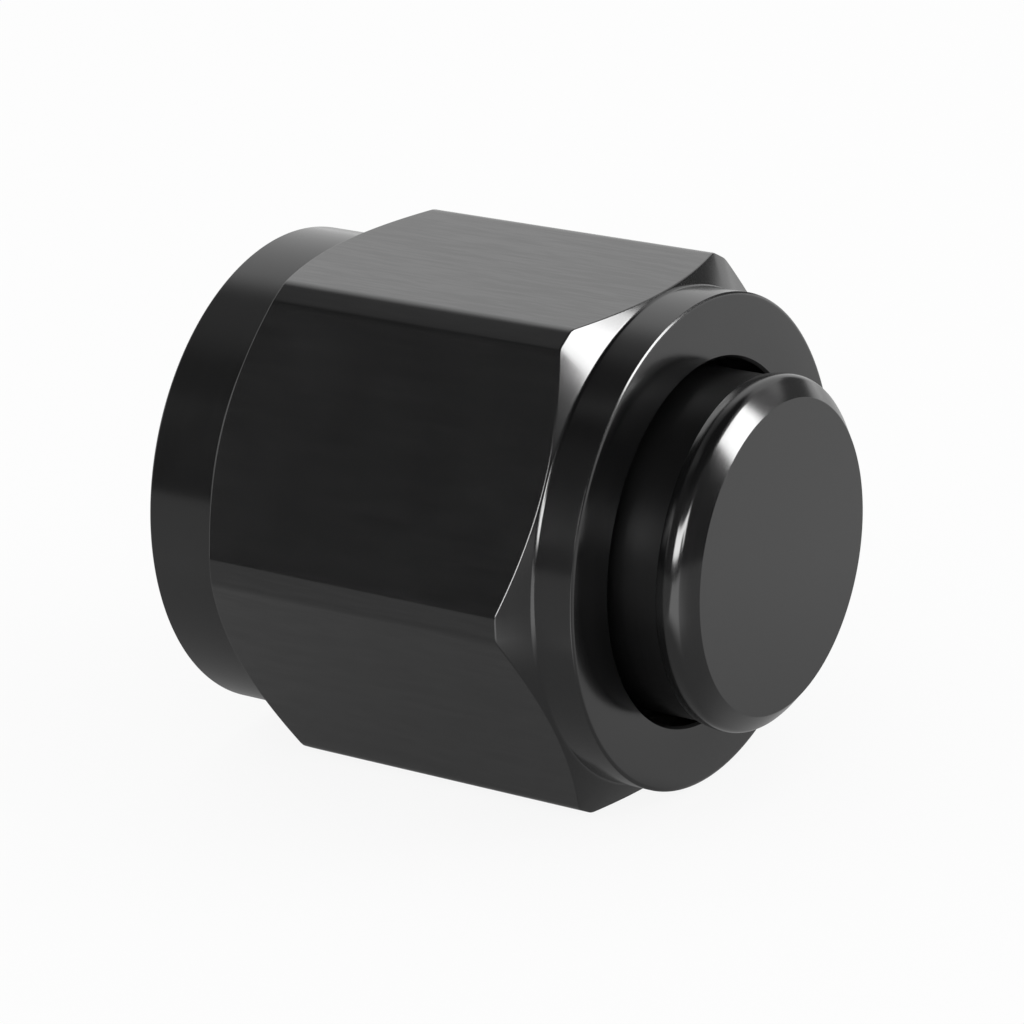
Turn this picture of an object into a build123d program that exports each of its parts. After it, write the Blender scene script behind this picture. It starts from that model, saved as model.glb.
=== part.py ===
from build123d import *

import os
from math import radians, tan

# Threaded protection cap for a 37 degree flare fitting: a hexagonal swivel nut, a sealing plug that
# turns in it, and a split ring of flat wire that keeps the two together.
# Millimetres. X runs along the cap's axis, from the open threaded mouth at x = 0 to the plug's head.
# Z is up, and the cap lies on one flat of its hexagon.

# Hexagon
across_flats = 25.4
hex_corner_radius = 1.5
front_chamfer_angle = 30.0
rear_chamfer_angle = 35.0

# Nut, outside
nut_length = 25.25
collar_diameter = 24.9
collar_length = 3.85
boss_diameter = 25.1
boss_length = 2.2
outer_edge_break = 0.12

# Female thread, as a plain wall of its major diameter (7/8 inch, 14 turns to the inch)
thread_major_diameter = 22.225
thread_minor_diameter = 20.4
mouth_chamfer = 0.45
thread_length = 12.6
relief_depth = 0.35

# End wall of the nut, between its inner shoulder and the front face
end_wall = 7.0
front_bore_diameter = 18.5
bore_edge_break = 0.15
shoulder_edge_break = 0.3

# Fits between the nut and the plug
running_clearance = 0.06
flange_to_thread_clearance = 0.2
end_play = 0.15

# Plug flange and its concave seat
flange_thickness = 4.2
flange_edge_break = 0.3
seat_half_angle = 37.0
seat_mouth_diameter = 18.4
seat_floor_diameter = 9.0

# Plug neck and head, in front of the nut
guide_setback = 1.6
neck_diameter = 17.4
head_diameter = 17.9
head_face_diameter = 15.9
head_projection = 4.3
head_chamfer_length = 0.85
head_rim_length = 0.87
head_rear_bevel = 0.2
head_edge_radius = 0.8

# Retaining ring, a split ring of flat wire in matching grooves
wire_width = 1.0
wire_thickness = 0.9
wire_lead_in = 0.2
ring_grip = 0.5
ring_setback = 3.4
groove_side_clearance = 0.05
ring_seat_clearance = 0.02
compressed_ring_clearance = 0.1
ring_gap_angle = 20.0

# Places along the axis that more than one piece needs
shoulder_x = nut_length - end_wall
boss_x = nut_length - boss_length
ring_x = nut_length - ring_setback
groove_width = wire_width + 2 * groove_side_clearance
bore_radius = front_bore_diameter / 2
guide_radius = bore_radius - running_clearance
ring_groove_radius = bore_radius + ring_grip
plug_groove_radius = guide_radius - wire_thickness - compressed_ring_clearance


def turned(points, arc=360):
    """A solid of revolution about the cap's axis from (x, radius) points."""
    outline = Polyline(*points, close=True)
    return revolve(make_face(Plane.XZ * outline), Axis.X, arc)


def rounded(solid, radius, x, edge_radius):
    """Round the circular edge that lies at x with the given radius."""
    edges = [
        edge
        for edge in solid.edges().filter_by(GeomType.CIRCLE)
        if abs(edge.arc_center.X - x) < 0.001 and abs(edge.radius - radius) < 0.001
    ]
    return fillet(edges, edge_radius)


def hexagon_with_chamfered_corners():
    """The wrench hexagon, rounded along its corners and turned to a cone at both ends."""
    section = RegularPolygon(across_flats / 2, 6, major_radius=False)
    section = fillet(section.vertices(), hex_corner_radius)
    prism = extrude(Plane.YZ.offset(collar_length) * section, boss_x - collar_length)

    # The rear cone starts at the collar and the front one at the boss
    reach = across_flats
    rear_slope = tan(radians(rear_chamfer_angle))
    front_slope = tan(radians(front_chamfer_angle))
    rear_radius = collar_diameter / 2
    front_radius = boss_diameter / 2
    envelope = turned(
        [
            (collar_length, 0),
            (collar_length, rear_radius),
            (collar_length + (reach - rear_radius) * rear_slope, reach),
            (boss_x - (reach - front_radius) * front_slope, reach),
            (boss_x, front_radius),
            (boss_x, 0),
        ]
    )
    return prism & envelope


def swivel_nut():
    collar_radius = collar_diameter / 2
    boss_radius = boss_diameter / 2
    collar = turned(
        [
            (0, 0),
            (0, collar_radius - outer_edge_break),
            (outer_edge_break, collar_radius),
            (collar_length, collar_radius),
            (collar_length, 0),
        ]
    )
    boss = turned(
        [
            (boss_x, 0),
            (boss_x, boss_radius),
            (nut_length - outer_edge_break, boss_radius),
            (nut_length, boss_radius - outer_edge_break),
            (nut_length, 0),
        ]
    )
    body = hexagon_with_chamfered_corners() + collar + boss

    thread_radius = thread_major_diameter / 2
    relief_radius = thread_radius + relief_depth
    thread_end = mouth_chamfer + thread_length
    hollow = turned(
        [
            (0, 0),
            (0, thread_radius + mouth_chamfer),
            (mouth_chamfer, thread_radius),
            (thread_end, thread_radius),
            (thread_end + relief_depth, relief_radius),
            (shoulder_x, relief_radius),
            (shoulder_x, bore_radius + shoulder_edge_break),
            (shoulder_x + shoulder_edge_break, bore_radius),
            (ring_x - groove_width / 2, bore_radius),
            (ring_x - groove_width / 2, ring_groove_radius),
            (ring_x + groove_width / 2, ring_groove_radius),
            (ring_x + groove_width / 2, bore_radius),
            (nut_length - bore_edge_break, bore_radius),
            (nut_length, bore_radius + bore_edge_break),
            (nut_length, 0),
        ]
    )
    return body - hollow


def sealing_plug():
    flange_radius = thread_minor_diameter / 2 - flange_to_thread_clearance
    flange_front = shoulder_x - end_play
    flange_rear = flange_front - flange_thickness
    seat_mouth = seat_mouth_diameter / 2
    seat_floor = seat_floor_diameter / 2
    seat_depth = (seat_mouth - seat_floor) / tan(radians(seat_half_angle))
    neck_radius = neck_diameter / 2
    head_radius = head_diameter / 2
    guide_end = nut_length - guide_setback
    neck_step = guide_radius - neck_radius
    face_x = nut_length + head_projection
    rim_front = face_x - head_chamfer_length
    rim_rear = rim_front - head_rim_length
    plug = turned(
        [
            (flange_rear + seat_depth, 0),
            (flange_rear + seat_depth, seat_floor),
            (flange_rear, seat_mouth),
            (flange_rear, flange_radius - flange_edge_break),
            (flange_rear + flange_edge_break, flange_radius),
            (flange_front, flange_radius),
            (flange_front, guide_radius),
            (ring_x - groove_width / 2, guide_radius),
            (ring_x - groove_width / 2, plug_groove_radius),
            (ring_x + groove_width / 2, plug_groove_radius),
            (ring_x + groove_width / 2, guide_radius),
            (guide_end - neck_step, guide_radius),
            (guide_end, neck_radius),
            (rim_rear - head_rear_bevel, neck_radius),
            (rim_rear, head_radius),
            (rim_front, head_radius),
            (face_x, head_face_diameter / 2),
            (face_x, 0),
        ]
    )
    return rounded(plug, head_radius, rim_front, head_edge_radius)


def retaining_ring():
    """The ring sprung out against the floor of the nut's groove, its gap at the top.

    Its leading edge is turned back, so that the ring closes as it is pushed into the bore.
    """
    outer_radius = ring_groove_radius - ring_seat_clearance
    inner_radius = outer_radius - wire_thickness
    rear_x = ring_x - wire_width / 2
    front_x = ring_x + wire_width / 2
    ring = turned(
        [
            (rear_x, inner_radius),
            (rear_x, outer_radius),
            (front_x - wire_lead_in, outer_radius),
            (front_x, outer_radius - wire_lead_in),
            (front_x, inner_radius),
        ],
        arc=360 - ring_gap_angle,
    )
    return Rot(X=ring_gap_angle / 2) * ring


pieces = {
    "swivel_nut": swivel_nut(),
    "sealing_plug": sealing_plug(),
    "retaining_ring": retaining_ring(),
}

os.makedirs("parts", exist_ok=True)
for name, piece in pieces.items():
    export_step(piece, f"parts/{name}.step")
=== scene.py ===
"""The looks of the threaded protection cap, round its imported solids."""

from math import atan2, ceil, cos, hypot, pi, radians, sin, tan, tau

import bmesh
import bpy
from mathutils import Matrix, Vector


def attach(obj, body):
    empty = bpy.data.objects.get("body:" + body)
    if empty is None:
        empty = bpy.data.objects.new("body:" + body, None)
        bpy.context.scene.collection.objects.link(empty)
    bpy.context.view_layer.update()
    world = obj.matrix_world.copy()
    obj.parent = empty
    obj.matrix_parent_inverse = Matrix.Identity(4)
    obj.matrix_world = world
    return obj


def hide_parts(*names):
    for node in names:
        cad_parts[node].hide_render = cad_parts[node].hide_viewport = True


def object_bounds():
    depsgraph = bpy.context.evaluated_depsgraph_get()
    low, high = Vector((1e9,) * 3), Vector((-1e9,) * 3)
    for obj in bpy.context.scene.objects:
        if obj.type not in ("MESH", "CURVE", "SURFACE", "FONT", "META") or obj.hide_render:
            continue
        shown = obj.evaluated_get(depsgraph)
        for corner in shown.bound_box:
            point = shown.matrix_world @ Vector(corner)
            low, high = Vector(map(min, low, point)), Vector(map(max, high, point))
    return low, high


MM = 0.001

# Sizes in millimetres. X runs along the cap's axis from the open mouth. They are those of the solids,
# apart from the worn corners here and the turns of the thread, which the solids don't have.
across_flats = 25.4
across_corners = 28.6
corner_softness = 0.1
front_chamfer_angle = 30.0
rear_chamfer_angle = 35.0
nut_length = 25.25
collar_radius = 12.45
collar_length = 3.85
boss_radius = 12.55
boss_x = 23.05
outer_edge_break = 0.12

thread_radius = 11.1125
thread_minor_radius = 10.2
thread_pitch = 25.4 / 14
thread_angle = 60.0
mouth_chamfer = 0.45
thread_end = 13.05
relief_depth = 0.35
shoulder_x = 18.25
shoulder_edge_break = 0.3
bore_radius = 9.25
bore_edge_break = 0.15
ring_groove_radius = 9.75
ring_groove_rear = 21.3
ring_groove_front = 22.4

flange_rear = 13.9
flange_front = 18.1
flange_radius = 10.0
flange_edge_break = 0.3
seat_half_angle = 37.0
seat_mouth_radius = 9.2
seat_floor_radius = 4.5
guide_radius = 9.19
plug_groove_radius = 8.19
neck_radius = 8.7
neck_step_x = 23.16
neck_x = 23.65
head_rear = 27.83
head_rear_bevel = 0.2
head_front = 28.7
head_radius = 8.95
face_x = 29.55
face_radius = 7.95

# The small radii, breaks and steps that deburring and turning leave on the edges and in the corners,
# and the steps in which a rounding and a turned surface are drawn
crisp_ease = 0.01
sharp_ease = 0.04
edge_ease = 0.1
root_ease = 0.1
boss_root_ease = 0.25
boss_edge_rise = 0.09
boss_edge_depth = 0.1
boss_edge_ease = 0.3
head_ease = 0.6
head_rear_step = 0.16
head_rear_crown = 0.45
head_rear_ease = 1.5
arc_steps = 4

nut_steps = 480
plug_steps = 360
thread_steps = 144

# The camera, fitted to the photograph, in metres
camera_place = (0.136607, -0.181064, 0.084343)
camera_right = (0.835394, 0.54784, -0.044592)
camera_up = (-0.163789, 0.325558, 0.931228)
camera_back = (0.524681, -0.770638, 0.3617)
camera_lens = 162.35
camera_shift = (0.00436, 0.0034)

# The studio round the cap, in metres
room_radius = 1.0
table_reach = 3.0
lamp_distance = 0.5


def eased(corners, closed):
    """The points of an outline of (x, radius, ease) corners, each corner rounded by its ease."""
    places = [Vector(corner[:2]) for corner in corners]
    count = len(corners)
    sides = [places[(number + 1) % count] - places[number] for number in range(count)]
    reaches = []
    for number, (x, radius, ease) in enumerate(corners):
        at_end = not closed and number in (0, count - 1)
        turn = 0.0 if at_end else sides[number - 1].angle(sides[number])
        reaches.append(ease * tan(turn / 2))

    usable_share = 0.95
    points = []
    for number, corner in enumerate(places):
        if not reaches[number]:
            points.append(corner)
            continue
        # Two corners that want more of the side between them than it has share it
        shared = max(
            (reaches[number - 1] + reaches[number]) / sides[number - 1].length,
            (reaches[number] + reaches[(number + 1) % count]) / sides[number].length,
        )
        reach = reaches[number] / max(1.0, shared / usable_share)
        start = corner - reach * sides[number - 1].normalized()
        end = corner + reach * sides[number].normalized()
        for step in range(arc_steps + 1):
            share = step / arc_steps
            points.append(start.lerp(corner, share).lerp(corner.lerp(end, share), share))
    return points


def turned(outline, steps, closed):
    """A mesh turned from the outline about the cap's axis.

    Each vertex keeps, as its row, which point of the outline it comes from.
    """
    mesh = bmesh.new()
    row = mesh.verts.layers.int.new("row")
    verts = []
    for number, point in enumerate(outline):
        vert = mesh.verts.new((point.x * MM, 0, point.y * MM))
        vert[row] = number
        verts.append(vert)
    pairs = list(zip(verts, verts[1:]))
    if closed:
        pairs.append((verts[-1], verts[0]))
    edges = [mesh.edges.new(pair) for pair in pairs]
    bmesh.ops.spin(
        mesh, geom=verts + edges, cent=(0, 0, 0), axis=(1, 0, 0), angle=tau, steps=steps, use_merge=True
    )
    bmesh.ops.remove_doubles(mesh, verts=mesh.verts, dist=0.0001 * MM)
    bmesh.ops.recalc_face_normals(mesh, faces=mesh.faces)
    return mesh


def piece(name, mesh, *materials):
    """A smooth object from the mesh, whose wide faces keep their true shading beside small edges."""
    data = bpy.data.meshes.new(name)
    for face in mesh.faces:
        face.smooth = True
    mesh.to_mesh(data)
    mesh.free()
    for material in materials:
        data.materials.append(material)
    made = bpy.data.objects.new(name, data)
    bpy.context.scene.collection.objects.link(made)
    shading = made.modifiers.new("shading", "WEIGHTED_NORMAL")
    shading.mode = "FACE_AREA"
    shading.weight = 50
    return made


# The nut


def hexagon_radius(angle):
    """Distance from the axis to the hexagon's outline, its corners worn to narrow soft-edged facets."""
    half_sector = pi / 6
    off_flat = abs(angle % (2 * half_sector) - half_sector)
    flat = across_flats / 2 / cos(off_flat)
    facet = across_corners / 2 / cos(half_sector - off_flat)
    overlap = max(corner_softness - abs(flat - facet), 0)
    return min(flat, facet) - overlap**2 / (4 * corner_softness)


def nut_outline(radius):
    """The nut's section at an angle where its hexagon stands that radius from the axis."""
    rear_slope = tan(radians(rear_chamfer_angle))
    front_slope = tan(radians(front_chamfer_angle))
    bore_front = nut_length - bore_edge_break
    return eased(
        [
            (0, thread_radius + mouth_chamfer, sharp_ease),
            (0, collar_radius - outer_edge_break, edge_ease),
            (outer_edge_break, collar_radius, edge_ease),
            (collar_length, collar_radius, root_ease),
            (collar_length + (radius - collar_radius) * rear_slope, radius, edge_ease),
            (boss_x - (radius - boss_radius) * front_slope, radius, edge_ease),
            (boss_x, boss_radius, boss_root_ease),
            (nut_length - boss_edge_rise, boss_radius, crisp_ease),
            (nut_length, boss_radius - boss_edge_depth, boss_edge_ease),
            (nut_length, bore_radius + bore_edge_break, sharp_ease),
            (bore_front, bore_radius, sharp_ease),
            (ring_groove_front, bore_radius, sharp_ease),
            (ring_groove_front, ring_groove_radius, sharp_ease),
            (ring_groove_rear, ring_groove_radius, sharp_ease),
            (ring_groove_rear, bore_radius, sharp_ease),
            (shoulder_x + shoulder_edge_break, bore_radius, sharp_ease),
            (shoulder_x, bore_radius + shoulder_edge_break, sharp_ease),
            (shoulder_x, thread_radius + relief_depth, root_ease),
            (thread_end + relief_depth, thread_radius + relief_depth, sharp_ease),
            (thread_end, thread_radius, sharp_ease),
            (mouth_chamfer, thread_radius, sharp_ease),
        ],
        closed=True,
    )


def nut_body(turned_finish, drawn_finish):
    mesh = turned(nut_outline(across_flats / 2), nut_steps, closed=True)
    row = mesh.verts.layers.int["row"]
    sections = {}
    for vert in mesh.verts:
        angle = atan2(vert.co.z, vert.co.y)
        column = round(angle / tau * nut_steps)
        if column not in sections:
            sections[column] = nut_outline(hexagon_radius(column / nut_steps * tau))
        point = sections[column][vert[row]]
        vert.co = Vector((point.x, point.y * cos(angle), point.y * sin(angle))) * MM
    for face in mesh.faces:
        middle = face.calc_center_median() / MM
        on_hexagon = collar_length < middle.x < boss_x and hypot(middle.y, middle.z) > boss_radius
        # The drawn flats and facets lie along the axis, and the turned chamfers slope
        along_axis = abs(face.normal.x) < 0.02
        face.material_index = int(on_hexagon and along_axis)
    return piece("nut_body", mesh, turned_finish, drawn_finish)


def nut_thread(finish):
    """The turns of the female thread, one ridge wound along the wall from the mouth to the groove."""
    flank = tan(radians(thread_angle / 2))
    height = thread_radius - thread_minor_radius
    half_root_share = 7 / 16
    sunk = 0.06
    root_half = half_root_share * thread_pitch + sunk * flank
    crest_half = half_root_share * thread_pitch - height * flank
    lead_in = 0.2
    start = lead_in - thread_pitch / 2
    turns = (thread_end + relief_depth + thread_pitch / 2 - start) / thread_pitch
    outline = eased(
        [
            (start - root_half, thread_radius + sunk, 0),
            (start - crest_half, thread_minor_radius, sharp_ease),
            (start + crest_half, thread_minor_radius, sharp_ease),
            (start + root_half, thread_radius + sunk, 0),
        ],
        closed=True,
    )
    mesh = bmesh.new()
    verts = [mesh.verts.new((point.x * MM, 0, point.y * MM)) for point in outline]
    edges = [mesh.edges.new(pair) for pair in zip(verts, verts[1:] + verts[:1])]
    steps = ceil(turns * thread_steps)
    advance = thread_pitch / thread_steps * MM
    bmesh.ops.spin(
        mesh,
        geom=verts + edges,
        cent=(0, 0, 0),
        axis=(1, 0, 0),
        dvec=(advance, 0, 0),
        angle=tau * steps / thread_steps,
        steps=steps,
    )
    bmesh.ops.holes_fill(mesh, edges=[edge for edge in mesh.edges if edge.is_boundary])

    # The turns run out in the mouth's chamfer and in the groove behind the thread
    skin = 0.02
    for vert in mesh.verts:
        x = max(vert.co.x / MM, skin)
        radius = hypot(vert.co.y, vert.co.z) / MM
        mouth = thread_radius + mouth_chamfer - x
        groove = thread_radius + min(x - thread_end, relief_depth)
        grown = max(radius, mouth + skin, groove + skin) / radius
        vert.co = (x * MM, vert.co.y * grown, vert.co.z * grown)
    bmesh.ops.dissolve_degenerate(mesh, edges=mesh.edges, dist=0.001 * MM)
    bmesh.ops.recalc_face_normals(mesh, faces=mesh.faces)
    return piece("nut_thread", mesh, finish)


# The plug


def plug_body(turned_finish, recess_finish):
    seat_floor_x = flange_rear + (seat_mouth_radius - seat_floor_radius) / tan(radians(seat_half_angle))
    outline = eased(
        [
            (seat_floor_x, 0, 0),
            (seat_floor_x, seat_floor_radius, root_ease),
            (flange_rear, seat_mouth_radius, sharp_ease),
            (flange_rear, flange_radius - flange_edge_break, sharp_ease),
            (flange_rear + flange_edge_break, flange_radius, sharp_ease),
            (flange_front, flange_radius, edge_ease),
            (flange_front, guide_radius, sharp_ease),
            (ring_groove_rear, guide_radius, sharp_ease),
            (ring_groove_rear, plug_groove_radius, sharp_ease),
            (ring_groove_front, plug_groove_radius, sharp_ease),
            (ring_groove_front, guide_radius, sharp_ease),
            (neck_step_x, guide_radius, edge_ease),
            (neck_x, neck_radius, root_ease),
            (head_rear - head_rear_bevel, neck_radius, sharp_ease),
            (head_rear - head_rear_bevel, neck_radius + head_rear_step, sharp_ease),
            (head_rear - head_rear_bevel + head_rear_crown, head_radius, head_rear_ease),
            (head_front, head_radius, head_ease),
            (face_x, face_radius, sharp_ease),
            (face_x, 0, 0),
        ],
        closed=False,
    )
    mesh = turned(outline, plug_steps, closed=False)
    for face in mesh.faces:
        middle = face.calc_center_median() / MM
        on_neck = neck_step_x < middle.x < head_rear and hypot(middle.y, middle.z) < neck_radius + 0.01
        face.material_index = int(on_neck)
    return piece("plug_body", mesh, turned_finish, recess_finish)


# Finishes


class Term:
    """A value that changes over a surface. Arithmetic on it adds Math nodes to its finish."""

    def __init__(self, finish, socket):
        self.finish = finish
        self.socket = socket

    def combined(self, operation, first, second):
        return self.finish.node("ShaderNodeMath", {"operation": operation}, {0: first, 1: second})

    def __add__(self, other):
        return self.combined("ADD", self, other)

    def __radd__(self, other):
        return self.combined("ADD", other, self)

    def __sub__(self, other):
        return self.combined("SUBTRACT", self, other)

    def __rsub__(self, other):
        return self.combined("SUBTRACT", other, self)

    def __mul__(self, other):
        return self.combined("MULTIPLY", self, other)

    def __rmul__(self, other):
        return self.combined("MULTIPLY", other, self)

    def __pow__(self, other):
        return self.combined("POWER", self, other)


class Finish:
    """The nodes of one material or of the world."""

    def __init__(self, owner):
        owner.use_nodes = True
        self.nodes = owner.node_tree.nodes
        self.links = owner.node_tree.links

    def put(self, socket, value):
        if isinstance(value, Term):
            self.links.new(value.socket, socket)
        else:
            socket.default_value = value

    def node(self, kind, settings=None, inputs=None, output=0):
        made = self.nodes.new(kind)
        for name, value in (settings or {}).items():
            setattr(made, name, value)
        for name, value in (inputs or {}).items():
            self.put(made.inputs[name], value)
        return Term(self, made.outputs[output])

    def noise(self, x, y, z, detail):
        place = self.node("ShaderNodeCombineXYZ", inputs={0: x, 1: y, 2: z})
        return self.node("ShaderNodeTexNoise", inputs={"Vector": place, "Scale": 1.0, "Detail": detail})


def surface_place(finish):
    """The place on the surface along X, Y and Z, in millimetres."""
    place = finish.node("ShaderNodeTexCoord", output="Object")
    axes = [finish.node("ShaderNodeSeparateXYZ", inputs={0: place}, output=axis) for axis in "XYZ"]
    return [axis * (1 / MM) for axis in axes]


def axis_distance(y, z):
    return (y * y + z * z) ** 0.5


def black_anodised(name, marks, mark_depth, roughness, cloud, sheen, gloss=0.5):
    """Dyed oxide on aluminium: near black, satin, with the tool's marks under it.

    marks makes the pattern of the tool's marks from the place on the surface, in millimetres.
    mark_depth is their depth in millimetres, and cloud how fine the patches of shade are, per
    millimetre. sheen is how much the raised marks shine, and gloss how strongly the oxide mirrors.
    """
    material = bpy.data.materials.new(name)
    finish = Finish(material)
    x, y, z = surface_place(finish)
    mark = marks(finish, x, y, z)
    patch = finish.noise(x * cloud, y * cloud, z * cloud, 3.0)
    shade = 0.6 + 0.5 * mark + 0.3 * patch
    colour = finish.node(
        "ShaderNodeMix",
        {"data_type": "RGBA"},
        {"Factor": shade - 0.5, 6: (0.002, 0.002, 0.0021, 1), 7: (0.006, 0.006, 0.0062, 1)},
        output=2,
    )
    bump = finish.node(
        "ShaderNodeBump", inputs={"Strength": 1.0, "Distance": mark_depth * MM, "Height": mark}
    )
    shader = finish.nodes["Principled BSDF"]
    shader.inputs["IOR"].default_value = 1.7
    shader.inputs["Specular IOR Level"].default_value = gloss
    finish.put(shader.inputs["Base Color"], colour)
    finish.put(shader.inputs["Roughness"], roughness + 0.08 * (mark - 0.5) + 0.08 * (patch - 0.5))
    finish.put(shader.inputs["Coat Weight"], sheen * fade(finish, mark, 0.4, 0.62))
    shader.inputs["Coat Roughness"].default_value = roughness
    finish.put(shader.inputs["Normal"], bump)
    return material


def turning_marks(finish, x, y, z):
    """Fine rings round the axis, as a turning tool leaves them."""
    distance = axis_distance(y, z)
    fine = finish.noise(x * 9.0, distance * 9.0, 0.0, 2.0)
    broad = finish.noise(x * 1.3, distance * 1.3, 0.0, 1.0)
    return 0.7 * fine + 0.3 * broad


def drawing_marks(finish, x, y, z):
    """Fine streaks along the axis, as drawn bar has them."""
    fine = finish.noise(x * 0.5, y * 8.0, z * 8.0, 3.0)
    broad = finish.noise(x * 0.12, y * 1.6, z * 1.6, 2.0)
    return 0.65 * fine + 0.35 * broad


def spring_steel(name):
    material = bpy.data.materials.new(name)
    finish = Finish(material)
    x, y, z = surface_place(finish)
    mark = turning_marks(finish, x, y, z)
    shader = finish.nodes["Principled BSDF"]
    shader.inputs["Base Color"].default_value = (0.5, 0.49, 0.48, 1)
    shader.inputs["Metallic"].default_value = 1.0
    finish.put(shader.inputs["Roughness"], 0.2 + 0.25 * mark)
    return material


# The studio


def studio_object(name, mesh, material):
    data = bpy.data.meshes.new(name)
    mesh.to_mesh(data)
    mesh.free()
    data.materials.append(material)
    made = bpy.data.objects.new(name, data)
    bpy.context.scene.collection.objects.link(made)
    return made


def white_table(level):
    """A wide pale table whose white holds in the picture, with a faint shadow under the cap."""
    material = bpy.data.materials.new("white_table")
    finish = Finish(material)
    camera_ray = finish.node("ShaderNodeLightPath", output="Is Camera Ray")
    glossy_ray = finish.node("ShaderNodeLightPath", output="Is Glossy Ray")
    transmitted_ray = finish.node("ShaderNodeLightPath", output="Is Transmission Ray")
    glow = 0.9 * camera_ray + 0.1 * glossy_ray + 0.1 * transmitted_ray
    matt = finish.node("ShaderNodeBsdfDiffuse", inputs={"Color": (0.75, 0.75, 0.75, 1)})
    white = finish.node("ShaderNodeEmission", inputs={"Color": (1, 1, 1, 1), "Strength": 1.0})
    mixed = finish.node("ShaderNodeMixShader", inputs={0: glow, 1: matt, 2: white})
    finish.put(finish.nodes["Material Output"].inputs["Surface"], mixed)
    mesh = bmesh.new()
    bmesh.ops.create_grid(mesh, x_segments=1, y_segments=1, size=table_reach)
    bmesh.ops.translate(mesh, verts=mesh.verts, vec=(0, 0, level))
    return studio_object("white_table", mesh, material)


def seen_from_cap(finish, centre):
    """Azimuth and elevation in degrees, and distance in millimetres, of a place as the cap sees it.

    Azimuth 0 is along the axis from the plug's head, -90 is the camera's side and 90 the far side.
    """
    place = finish.node("ShaderNodeTexCoord", output="Object")
    moved = finish.node(
        "ShaderNodeVectorMath", {"operation": "SUBTRACT"}, {0: place, 1: tuple(centre)}
    )
    x, y, z = (finish.node("ShaderNodeSeparateXYZ", inputs={0: moved}, output=axis) for axis in "XYZ")
    reach = (x * x + y * y) ** 0.5
    azimuth = finish.node("ShaderNodeMath", {"operation": "ARCTAN2"}, {0: y, 1: x}) * (180 / pi)
    elevation = finish.node("ShaderNodeMath", {"operation": "ARCTAN2"}, {0: z, 1: reach}) * (180 / pi)
    unbroken = finish.node("ShaderNodeMath", {"operation": "WRAP"}, {0: azimuth, 1: 115.0, 2: -245.0})
    return unbroken, elevation, reach * (1 / MM)


def fade(finish, value, start, end):
    """0 at start and 1 at end, with a soft change between them. start may be the higher of the two."""
    return finish.node(
        "ShaderNodeMapRange",
        {"interpolation_type": "SMOOTHSTEP"},
        {"Value": value, "From Min": start, "From Max": end},
    )


def band(finish, value, first, last, soft):
    """1 from first to last and 0 outside them, with soft ends."""
    rise = fade(finish, value, first - soft / 2, first + soft / 2)
    fall = fade(finish, value, last + soft / 2, last - soft / 2)
    return rise * fall


def only_reflected(name, centre, profile, brightness):
    """A studio surface turned about the upright through the cap, which only reflections show.

    brightness works out its radiance from azimuth, elevation and distance as the cap sees them.
    """
    mesh = bmesh.new()
    verts = [mesh.verts.new((centre.x + reach, centre.y, z)) for reach, z in profile]
    edges = [mesh.edges.new(pair) for pair in zip(verts, verts[1:])]
    bmesh.ops.spin(
        mesh, geom=verts + edges, cent=centre, axis=(0, 0, 1), angle=tau, steps=72, use_merge=True
    )
    bmesh.ops.remove_doubles(mesh, verts=mesh.verts, dist=0.01 * MM)
    material = bpy.data.materials.new(name)
    finish = Finish(material)
    strength = brightness(finish, *seen_from_cap(finish, centre))
    glow = finish.node("ShaderNodeEmission", inputs={"Color": (1, 1, 1, 1), "Strength": strength})
    finish.put(finish.nodes["Material Output"].inputs["Surface"], glow)
    made = studio_object(name, mesh, material)
    made.visible_camera = False
    made.visible_diffuse = False
    made.visible_shadow = False
    return made


def room_brightness(finish, azimuth, elevation, distance):
    """Black cards on the camera's side and behind the head, pale walls beyond, and the softboxes.

    A net in front of part of the key and a small card in front of the side softbox keep the flats
    from mirroring them at full strength in the views from behind. Nothing here changes with distance.
    """
    near_side = band(finish, azimuth, -204, 8, 20)
    ceiling = fade(finish, elevation, 44, 58)
    left_low = band(finish, azimuth, -215, -138, 14) * band(finish, elevation, -20, 30, 16)
    behind_head = band(finish, azimuth, 62, 92, 8) * band(finish, elevation, 4.5, 21, 3)
    right_of_key = band(finish, azimuth, 47, 64, 6) * fade(finish, elevation, 0, 10)
    dark = near_side * (1 - left_low)
    walls = 0.92 - 0.82 * dark - 0.78 * behind_head - 0.37 * right_of_key
    beside_face = band(finish, azimuth, 0, 14, 6) * fade(finish, elevation, 22, 14)
    key = band(finish, azimuth, 18.5, 44.5, 4) * band(finish, elevation, 15, 27, 4)
    key += band(finish, azimuth, 13, 45, 5) * band(finish, elevation, 27, 42, 4)
    net = band(finish, azimuth, 35.5, 44, 3) * band(finish, elevation, 24, 30, 3)
    side = band(finish, azimuth, -105, -32, 6) * band(finish, elevation, 11, 30, 4)
    card = band(finish, azimuth, -52, -38, 4) * band(finish, elevation, 8, 20, 3)
    over_rear = 0.03 + 0.24 * band(finish, azimuth, -260, -145, 20) * fade(finish, elevation, 66, 60)
    plain = walls * (1 - ceiling) + over_rear * ceiling
    softboxes = 14.5 * key * (1 - 0.45 * net) + 11.0 * side * (1 - 0.95 * card)
    return plain + 0.25 * beside_face + softboxes


def table_brightness(finish, azimuth, elevation, distance):
    """The grey that the table shows the cap, brighter farther off, with the side softbox in it. The
    dimming close to the cap is painted shadow of the cap on the table.
    """
    # Dimmer within 40 mm of the cap: painted shadow of the cap on the table, as reflections show it
    near = finish.node("ShaderNodeMath", {"operation": "MINIMUM"}, {0: 0.2 + 0.005 * distance, 1: 0.4})
    far_side = fade(finish, azimuth, -22, -6) + fade(finish, azimuth, -210, -235)
    side = band(finish, azimuth, -90, -30, 8) * band(finish, distance, 36, 400, 20)
    return near + far_side * (0.16 + 0.001 * distance) + 1.3 * side


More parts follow.
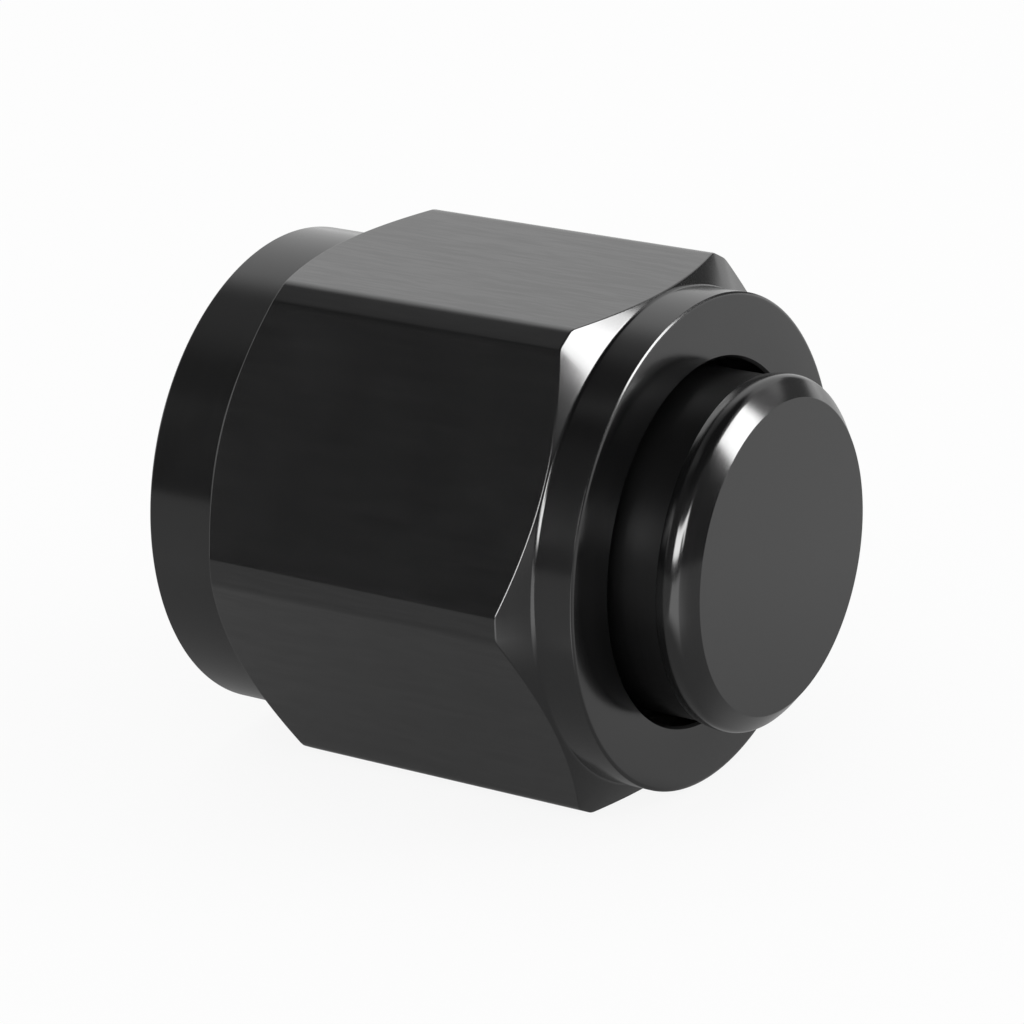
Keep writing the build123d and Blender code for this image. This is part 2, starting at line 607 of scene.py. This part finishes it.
def reflected_room(centre, level):
    """A wall and a dome round the cap, from the table up to the pole above it."""
    steps = 16
    foot = (room_radius, level)
    angles = [pi / 2 * step / steps for step in range(steps + 1)]
    arc = [(room_radius * cos(angle), centre.z + room_radius * sin(angle)) for angle in angles]
    return only_reflected("reflected_room", centre, [foot] + arc, room_brightness)


def reflected_table(centre, level):
    """A disc just above the table, as wide as the room."""
    height = level + 0.05 * MM
    return only_reflected(
        "reflected_table", centre, [(0, height), (room_radius, height)], table_brightness
    )


def softbox(name, centre, azimuth, elevation, width, height, radiance):
    """A rectangular lamp that faces the cap. The angles are in degrees, as the cap sees it.

    It lights and shades, and its reflection is the one in the room's brightness.
    """
    across, along = (2 * lamp_distance * tan(radians(angle) / 2) for angle in (width, height))
    lamp = bpy.data.lights.new(name, "AREA")
    lamp.shape = "RECTANGLE"
    lamp.size = across
    lamp.size_y = along
    lamp.energy = radiance * pi * across * along
    outward = Vector(
        (
            cos(radians(elevation)) * cos(radians(azimuth)),
            cos(radians(elevation)) * sin(radians(azimuth)),
            sin(radians(elevation)),
        )
    )
    made = bpy.data.objects.new(name, lamp)
    made.location = centre + lamp_distance * outward
    made.rotation_euler = outward.to_track_quat("Z", "Y").to_euler()
    made.visible_camera = False
    made.visible_glossy = False
    bpy.context.scene.collection.objects.link(made)
    return made


def white_surroundings():
    world = bpy.data.worlds.new("white_surroundings")
    finish = Finish(world)
    sky = finish.nodes["Background"]
    sky.inputs["Color"].default_value = (1, 1, 1, 1)
    sky.inputs["Strength"].default_value = 1.0
    bpy.context.scene.world = world


def photograph_camera():
    camera = bpy.data.cameras.new("camera")
    camera.lens = camera_lens
    camera.sensor_width = 36.0
    camera.shift_x, camera.shift_y = camera_shift
    camera.clip_start = 0.01
    camera.clip_end = 20.0
    made = bpy.data.objects.new("camera", camera)
    axes = Matrix((camera_right, camera_up, camera_back)).transposed()
    made.matrix_world = Matrix.Translation(camera_place) @ axes.to_4x4()
    bpy.context.scene.collection.objects.link(made)
    bpy.context.scene.camera = made


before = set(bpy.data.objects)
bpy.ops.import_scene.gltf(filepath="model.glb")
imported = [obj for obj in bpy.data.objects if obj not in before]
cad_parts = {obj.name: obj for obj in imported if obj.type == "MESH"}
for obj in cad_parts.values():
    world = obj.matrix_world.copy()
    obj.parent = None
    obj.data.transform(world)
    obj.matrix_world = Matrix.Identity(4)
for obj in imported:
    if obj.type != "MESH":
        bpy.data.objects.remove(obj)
solid_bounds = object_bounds()
centre = (Vector(solid_bounds[0]) + Vector(solid_bounds[1])) / 2

turned_black = black_anodised(
    "turned_black", turning_marks, mark_depth=0.0004, roughness=0.16, cloud=0.35, sheen=0.0
)
drawn_black = black_anodised(
    "drawn_black", drawing_marks, mark_depth=0.0004, roughness=0.18, cloud=0.2, sheen=0.15
)
recess_black = black_anodised(
    "recess_black", turning_marks, mark_depth=0.0008, roughness=0.35, cloud=0.35, sheen=0.0, gloss=0.12
)

nut = nut_body(turned_black, drawn_black)
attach(nut, "nut")
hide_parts("swivel_nut")

thread = nut_thread(turned_black)
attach(thread, "nut")

plug = plug_body(turned_black, recess_black)
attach(plug, "plug")
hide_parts("sealing_plug")

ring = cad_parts["retaining_ring"]
steel = spring_steel("spring_steel")
for place in ring.material_slots:
    place.material = steel

level = solid_bounds[0][2]
white_surroundings()
white_table(level)
reflected_room(centre, level)
reflected_table(centre, level)
softbox("key", centre, azimuth=28, elevation=28, width=33, height=27, radiance=3)
photograph_camera()
bpy.context.scene.view_settings.view_transform = "Standard"
